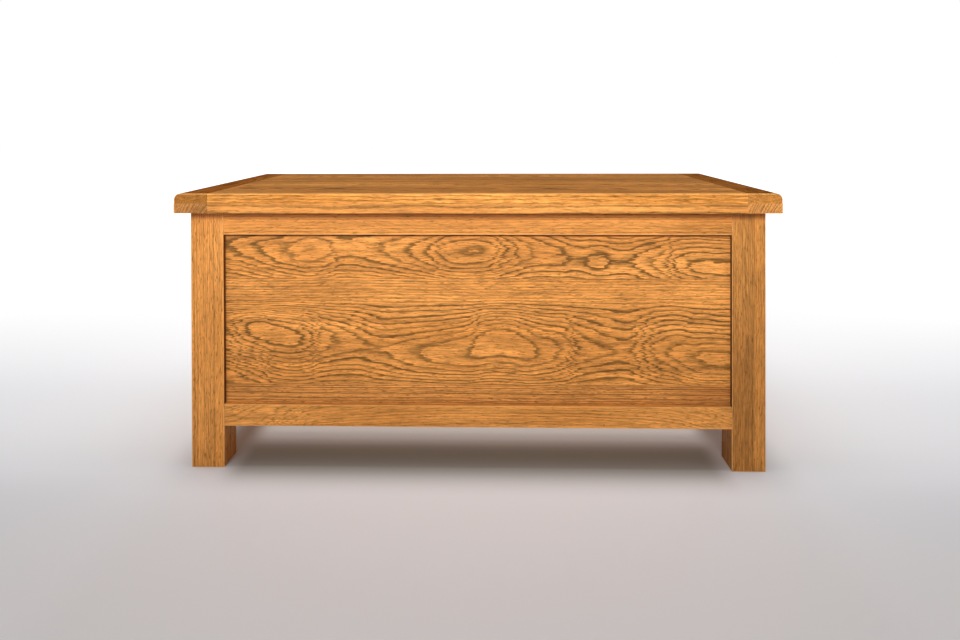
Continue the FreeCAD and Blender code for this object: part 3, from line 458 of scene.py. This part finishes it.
def dress_front_panel():
    """Two boards with bold figure, and a straight-grained strip below them. The hearts of the two
    come nearest to the face in the middle of each oval: a path gives its height along the board,
    and the depths how far behind the face it is."""
    figured = dict(uneven=0.15, line=FIGURE, straight=0.6, fibre=1.5, speckle=0.75)
    top = Board(
        "front_panel_top_board", *SIDES["front"],
        path=[(-0.60, 0.408), (-0.46, 0.408), (-0.337, 0.400), (-0.243, 0.404), (-0.01, 0.398),
              (0.05, 0.398), (0.20, 0.385), (0.36, 0.378), (0.445, 0.370), (0.60, 0.365)],
        depths=[(-0.60, 0.094), (-0.46, 0.0895), (-0.40, 0.0865), (-0.34, 0.0825), (-0.30, 0.0805),
                (-0.27, 0.0820), (-0.243, 0.0845), (-0.22, 0.0840), (-0.1385, 0.080), (-0.083, 0.0755),
                (-0.01, 0.070), (0.05, 0.076), (0.12, 0.0835), (0.16, 0.0852), (0.19, 0.0868),
                (0.225, 0.0854), (0.26, 0.0870), (0.300, 0.0845), (0.347, 0.080), (0.373, 0.075),
                (0.445, 0.0718), (0.60, 0.075)],
    )
    dress_board(top, seed=3.1, ring=0.0033, contrast=1.3, under_rail=True, **figured)
    middle = Board(
        "front_panel_middle_board", *SIDES["front"],
        path=[(-0.60, 0.250), (-0.44, 0.262), (-0.376, 0.245), (-0.308, 0.235), (-0.24, 0.232),
              (-0.14, 0.2135), (-0.022, 0.2135), (0.04, 0.229), (0.12, 0.2166), (0.186, 0.222),
              (0.287, 0.2197), (0.34, 0.2197), (0.404, 0.205), (0.46, 0.1996), (0.60, 0.195)],
        depths=[(-0.60, 0.098), (-0.462, 0.093), (-0.44, 0.0878), (-0.376, 0.0826), (-0.308, 0.0878),
                (-0.29, 0.093), (-0.24, 0.0975), (-0.18, 0.100), (-0.14, 0.0982), (-0.022, 0.093),
                (0.05, 0.0895), (0.12, 0.093), (0.167, 0.0982), (0.186, 0.1034), (0.25, 0.108),
                (0.272, 0.109), (0.287, 0.108), (0.31, 0.1034), (0.34, 0.0982), (0.40, 0.093),
                (0.43, 0.0915), (0.60, 0.100)],
    )
    dress_board(middle, seed=8.6, ring=0.0038, start=-0.2, contrast=1.35, **figured)
    strip = Board("front_panel_bottom_board", *SIDES["front"], heart=5.0, depth=0.05)
    dress_board(
        strip, seed=1.7, ring=0.0042, light=srgb(214, 144, 70), dark=srgb(188, 118, 54),
        line=srgb(132, 76, 34), contrast=1.1, fibre=1.4, speckle=0.75,
    )


def worn_box(node, clear=""):
    """The node's box for the edge wear and painted highlight, stretched along the axes whose ends are hidden
    in a joint.
    """
    low, high = (list(corner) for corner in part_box(node))
    for axis in clear:
        index = "xyz".index(axis)
        low[index], high[index] = low[index] - 1.0, high[index] + 1.0
    return low, high


def dress_posts(seeds):
    """Four posts. The front right one is darker, with a lighter stave 22 mm wide at its outer side."""
    plain = dict(contrast=0.45, fibre=1.2)
    darker = dict(light=srgb(193, 130, 62), dark=srgb(167, 108, 48), contrast=0.7, fibre=1.5,
                  stave_start=RIGHT - 0.022)
    for side in ("front", "back"):
        for end in ("left", "right"):
            node = f"post_{side}_{end}"
            look = darker if node == "post_front_right" else plain
            board = Board(node, "z", SIDES[side][1], heart=3.6, depth=0.08)
            dress_board(board, seed=next(seeds), ring=0.0042, wander=0.006, speckle=0.75,
                        worn=worn_box(node), creases=True, under_lid=True, **look)


def dress_rails(seeds):
    """The rails and floor battens of the four sides. The front bottom rail's grain sweeps across it
    at the ends."""
    sweeping = {"front_bottom_rail": dict(
        path=[(-0.60, 0.050), (-0.46, 0.070), (-0.40, 0.098), (-0.34, 0.130), (-0.25, 0.155),
              (0.30, 0.158), (0.40, 0.142), (0.47, 0.115), (0.60, 0.095)],
        depths=[(-0.60, 0.030), (0.60, 0.040)],
    )}
    for side, (grain, face) in SIDES.items():
        for level, heart in (("top", 4.2), ("bottom", -3.4)):
            node = f"{side}_{level}_rail"
            board = Board(node, grain, face, heart=heart, depth=0.07, **sweeping.get(node, {}))
            dress_board(board, seed=next(seeds), ring=0.0046, wander=0.02, contrast=0.5, speckle=0.5,
                        worn=worn_box(node, grain), under_lid=level == "top")
        batten = Board(f"{side}_floor_batten", grain, face, heart=5.0)
        dress_board(batten, seed=next(seeds), contrast=0.5)


def dress_other_panels(seeds):
    """Two boards on the back and on each end. The heart lies a little towards their joint."""
    for side in ("back", "left", "right"):
        for level, heart in (("lower", 0.62), ("upper", 0.38)):
            board = Board(f"{side}_panel_{level}_board", *SIDES[side], heart=heart, depth=0.078)
            dress_board(board, seed=next(seeds), ring=0.0042, wander=0.03, swell=0.022,
                        contrast=1.15, fibre=1.35, speckle=0.7, under_rail=level == "upper")


def dress_lid(seeds):
    """The lid's boards, its breadboard ends and the strips under its rim. The edges of the whole lid,
    but not of its underside, are lighter: rubbed wear with a painted highlight."""
    lid = [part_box(node) for node in nodes if node.startswith(("lid_board", "breadboard", "lid_strip"))]
    low = [min(box[0][axis] for box in lid) for axis in range(3)]
    high = [max(box[1][axis] for box in lid) for axis in range(3)]
    low[2] -= 1.0
    worn = (low, high)
    # Each long board's tone darkens its top: painted shade.
    for node, heart, top_shade in (("lid_board_front", 0.7, 0.74), ("lid_board_front_middle", 0.4, 0.81),
                              ("lid_board_back_middle", 2.2, 0.75), ("lid_board_back", 0.3, 0.83)):
        board = Board(node, "x", "+z", heart=heart, depth=0.085)
        dress_board(board, seed=next(seeds), wander=0.025, swell=0.02, top_tone=top_shade,
                    contrast=1.0, fibre=1.9, worn=worn, sheen=0.04)
    ends = {
        "left": dict(light=srgb(234, 149, 74), dark=srgb(208, 128, 58), end_tone=srgb(198, 209, 214)),
        "right": dict(light=srgb(234, 156, 78), dark=srgb(208, 134, 62), end_tone=srgb(236, 242, 252)),
    }
    # The breadboard ends' tops are darkened still more: painted shade.
    for end, top_shade in (("left", 0.45), ("right", 0.42)):
        board = Board(f"breadboard_end_{end}", "y", "+z", heart=0.5, depth=0.05)
        dress_board(board, seed=next(seeds), top_tone=top_shade, contrast=0.6, worn=worn, sheen=0.0,
                    **ends[end])
    for side, (grain, _) in SIDES.items():
        board = Board(f"lid_strip_{side}", grain, "-z", heart=2.2, depth=0.05)
        dress_board(board, seed=next(seeds), contrast=0.8, worn=worn, **ends.get(side, {}))


def dress_floor_boards(seeds):
    for number in range(1, 6):
        board = Board(f"floor_board_{number}", "y", "+z", heart=0.3 + 0.15 * number, depth=0.08)
        dress_board(
            board, seed=next(seeds), wander=0.03, swell=0.02, light=srgb(226, 176, 116),
            dark=srgb(206, 152, 92), line=srgb(160, 112, 62), contrast=0.6,
        )


def seed_numbers(step=2.37):
    """An endless run of different seeds, so that no two boards have the same figure."""
    number = 0
    while True:
        number += 1
        yield step * number


# ---- metal and rubber -------------------------------------------------------------------------


def metal(name, colour, roughness, stain):
    """Drawn or plated metal: fine scratches, soft blotches and a little tarnish."""
    g = Graph(name)
    place = g.add("TexCoord", {}, output="Object")
    scratches = g.noise(g.stretched(place, (60, 900, 900)), 3.0)
    tarnish = g.fade(g.noise(g.stretched(place, (90, 90, 90)), 3.0), 0.45, 0.75)
    colour = g.mix(g.scaled(tarnish, 0.5), colour, stain)
    rough = g.total(g.between(scratches, roughness - 0.08, roughness + 0.08), g.scaled(tarnish, 0.12))
    return g.finish(colour, rough, scratches, depth=0.00005, Metallic=1.0)


def rubber():
    g = Graph("rubber")
    place = g.add("TexCoord", {}, output="Object")
    grain = g.noise(g.stretched(place, (1500, 1500, 1500)), 2.0)
    colour = g.grey(g.between(grain, 0.02, 0.05))
    return g.finish(colour, g.between(grain, 0.6, 0.8), grain, depth=0.00005)


def dress_hardware():
    brass = metal("brass", srgb(196, 158, 92), 0.34, srgb(120, 88, 46))
    steel = metal("steel", srgb(186, 186, 182), 0.36, srgb(122, 120, 114))
    buffers = rubber()
    for node in nodes:
        if node.startswith("hinge_"):
            dress(node, brass)
        elif node.startswith("stay_") or node.endswith("screws"):
            dress(node, steel)
        elif node == "lid_buffers":
            dress(node, buffers)


# ---- studio -----------------------------------------------------------------------------------


def surround(g, x, behind):
    """1 on the floor far from the chest, all round it. The edge is half an ellipse in front of a
    line that crosses the chest, and behind that line two edges that spread apart."""
    half_width, half_depth, spread, line = 1.15, 0.85, 0.35, 0.337
    past = g.math("SUBTRACT", behind, line)
    reach = g.scaled(g.math("MAXIMUM", past, 0.0), spread, half_width)
    across = g.math("DIVIDE", x, reach)
    nearer = g.scaled(g.math("MINIMUM", past, 0.0), 1 / half_depth)
    away = g.add("VectorMath", {0: g.vector(across, nearer, 0.0)}, output=1, operation="LENGTH")
    return g.fade(away, 1.05, 1.55)


def floor_painted_light(g, x, aside, behind, under):
    """How strongly the floor glows, a painted light that stands in for a lit white sweep: ever more
    towards the back, held off in the chest's own shade as a painted shadow, a little beside the
    chest, a painted pool of light under it, and fully far away."""
    back = g.spline(behind, [
        (-0.363, 0.0), (-0.263, 0.01), (-0.133, 0.04), (0.004, 0.14), (0.177, 0.22), (0.337, 0.27),
        (0.612, 0.41), (0.997, 0.56), (1.257, 0.63), (1.837, 0.87), (2.437, 0.95),
    ])
    beside = g.fade(aside, RIGHT - 0.026, RIGHT + 0.074)
    # Painted shadow: the glow is held off the floor in the chest's own shade.
    shaded = g.product(
        g.math("SUBTRACT", 1.0, beside), g.fade(behind, -0.123, 0.037), g.fade(behind, 0.687, 0.487)
    )
    sweep = g.product(back, g.math("SUBTRACT", 1.0, shaded))
    flank = g.product(0.10, g.fade(aside, 0.8, 2.0), g.fade(behind, -0.113, 0.137))
    # A painted pool of light on the floor under the chest.
    through = g.product(under, g.spline(behind, [
        (0.082, 0.0), (0.106, 0.03), (0.128, 0.10), (0.151, 0.19), (0.175, 0.29), (0.207, 0.32),
        (0.257, 0.24), (0.377, 0.0),
    ]))
    near = g.total(g.scaled(beside, 0.02, sweep), flank, through)
    return g.math("MAXIMUM", near, surround(g, x, behind))


def floor_paint(g, behind, under):
    """Nearly white, with a soft brown shadow along the foot of the chest's front."""
    nearer, further, brown = srgb(230, 229, 231), srgb(228, 230, 235), srgb(144, 130, 98)
    paint = g.mix(g.fade(behind, -0.413, -0.063), nearer, further)
    shadow = g.product(under, g.spline(behind, [
        (-0.093, 0.0), (-0.068, 0.04), (-0.051, 0.12), (-0.033, 0.26), (-0.015, 0.45), (0.004, 0.60),
        (0.023, 0.66), (0.043, 0.70), (0.059, 0.70), (0.084, 0.55), (0.106, 0.22), (0.127, 0.0),
    ]))
    return g.mix(shadow, paint, g.tinted(paint, brown))


def make_floor():
    """A pale floor. Its paint and its glow, a painted light, are placed by metres behind the chest's
    front face and metres aside of its middle."""
    mesh = bpy.data.meshes.new("floor")
    reach = 14.0
    corners = [(x, y, 0.0) for x, y in ((-reach, -reach), (reach, -reach), (reach, reach), (-reach, reach))]
    mesh.from_pydata(corners, [], [(0, 1, 2, 3)])
    floor = bpy.data.objects.new("floor", mesh)
    bpy.context.scene.collection.objects.link(floor)
    g = Graph("floor")
    x, y, _ = g.split(g.add("TexCoord", {}, output="Object"))
    aside, behind = g.math("ABSOLUTE", x), g.math("SUBTRACT", y, FRONT)
    under = g.fade(aside, RIGHT - 0.051, RIGHT - 0.101)
    g.put(g.shader.inputs["Base Color"], floor_paint(g, behind, under))
    g.put(g.shader.inputs["Roughness"], 0.9)
    g.put(g.shader.inputs["Specular IOR Level"], 0.0)
    g.put(g.shader.inputs["Emission Color"], (1.0, 0.98, 0.975, 1.0))
    g.put(g.shader.inputs["Emission Strength"], floor_painted_light(g, x, aside, behind, under))
    mesh.materials.append(g.material)


def make_world():
    """A white surround for the eye, and a dimmer one for the light it gives, brightest overhead."""
    world = bpy.data.worlds.new("studio")
    world.use_nodes = True
    tree = world.node_tree
    seen = tree.nodes.new("ShaderNodeBackground")
    seen.inputs["Color"].default_value = (1.0, 1.0, 1.0, 1.0)
    given = tree.nodes["Background"]
    given.inputs["Color"].default_value = (1.0, 0.99, 0.98, 1.0)
    direction = tree.nodes.new("ShaderNodeSeparateXYZ")
    tree.links.new(tree.nodes.new("ShaderNodeTexCoord").outputs["Generated"], direction.inputs[0])
    strength = tree.nodes.new("ShaderNodeMapRange")
    for key, value in (("From Min", 0.0), ("From Max", 1.0), ("To Min", 0.04), ("To Max", 0.50)):
        strength.inputs[key].default_value = value
    tree.links.new(direction.outputs["Z"], strength.inputs["Value"])
    tree.links.new(strength.outputs[0], given.inputs["Strength"])
    choice = tree.nodes.new("ShaderNodeMixShader")
    path = tree.nodes.new("ShaderNodeLightPath")
    tree.links.new(path.outputs["Is Camera Ray"], choice.inputs[0])
    tree.links.new(given.outputs[0], choice.inputs[1])
    tree.links.new(seen.outputs[0], choice.inputs[2])
    tree.links.new(choice.outputs[0], tree.nodes["World Output"].inputs[0])
    bpy.context.scene.world = world


def softbox(name, place, target, width, height, watts, spread):
    """An area light; spread is the angle in degrees that its grid lets through."""
    data = bpy.data.lights.new(name, "AREA")
    data.shape, data.size, data.size_y, data.energy = "RECTANGLE", width, height, watts
    data.spread = math.radians(spread)
    lamp = bpy.data.objects.new(name, data)
    lamp.location = place
    lamp.rotation_euler = (Vector(target) - Vector(place)).to_track_quat("-Z", "Y").to_euler()
    lamp.visible_camera = False
    bpy.context.scene.collection.objects.link(lamp)


def make_light():
    """Two softboxes from the front left, near and far, and one over the front of the lid."""
    softbox("near_softbox", place=(-0.62, -1.15, 1.05), target=(-0.46, FRONT, 0.95),
            width=1.9, height=0.35, watts=2.4, spread=90)
    softbox("far_softbox", place=(-0.5, -3.0, 1.35), target=(0.0, FRONT, 0.85),
            width=2.2, height=1.0, watts=7.3, spread=50)
    softbox("top_softbox", place=(0.0, -0.25, 2.3), target=(0.0, -0.25, 0.0),
            width=2.8, height=0.5, watts=5.2, spread=90)


def make_camera():
    """The camera stands in front, a little right of the middle and above the lid, and looks level;
    the shift brings the chest up into the frame."""
    place = (0.0398, -1.5484, 0.6372)
    turn, tilt, roll = (math.radians(degrees) for degrees in (1.36, 90 - 0.42, -0.15))
    data = bpy.data.cameras.new("camera")
    data.sensor_width, data.lens = 36.0, 26.94
    data.shift_y = -0.2009
    camera = bpy.data.objects.new("camera", data)
    camera.matrix_world = (
        Matrix.Translation(place)
        @ Matrix.Rotation(turn, 4, "Z")
        @ Matrix.Rotation(tilt, 4, "X")
        @ Matrix.Rotation(roll, 4, "Z")
    )
    bpy.context.scene.collection.objects.link(camera)
    bpy.context.scene.camera = camera


seeds = seed_numbers()
dress_front_panel()
dress_posts(seeds)
dress_rails(seeds)
dress_other_panels(seeds)
dress_lid(seeds)
dress_floor_boards(seeds)
dress_hardware()
make_floor()
make_world()
make_light()
make_camera()
bpy.context.scene.view_settings.view_transform = "Standard"
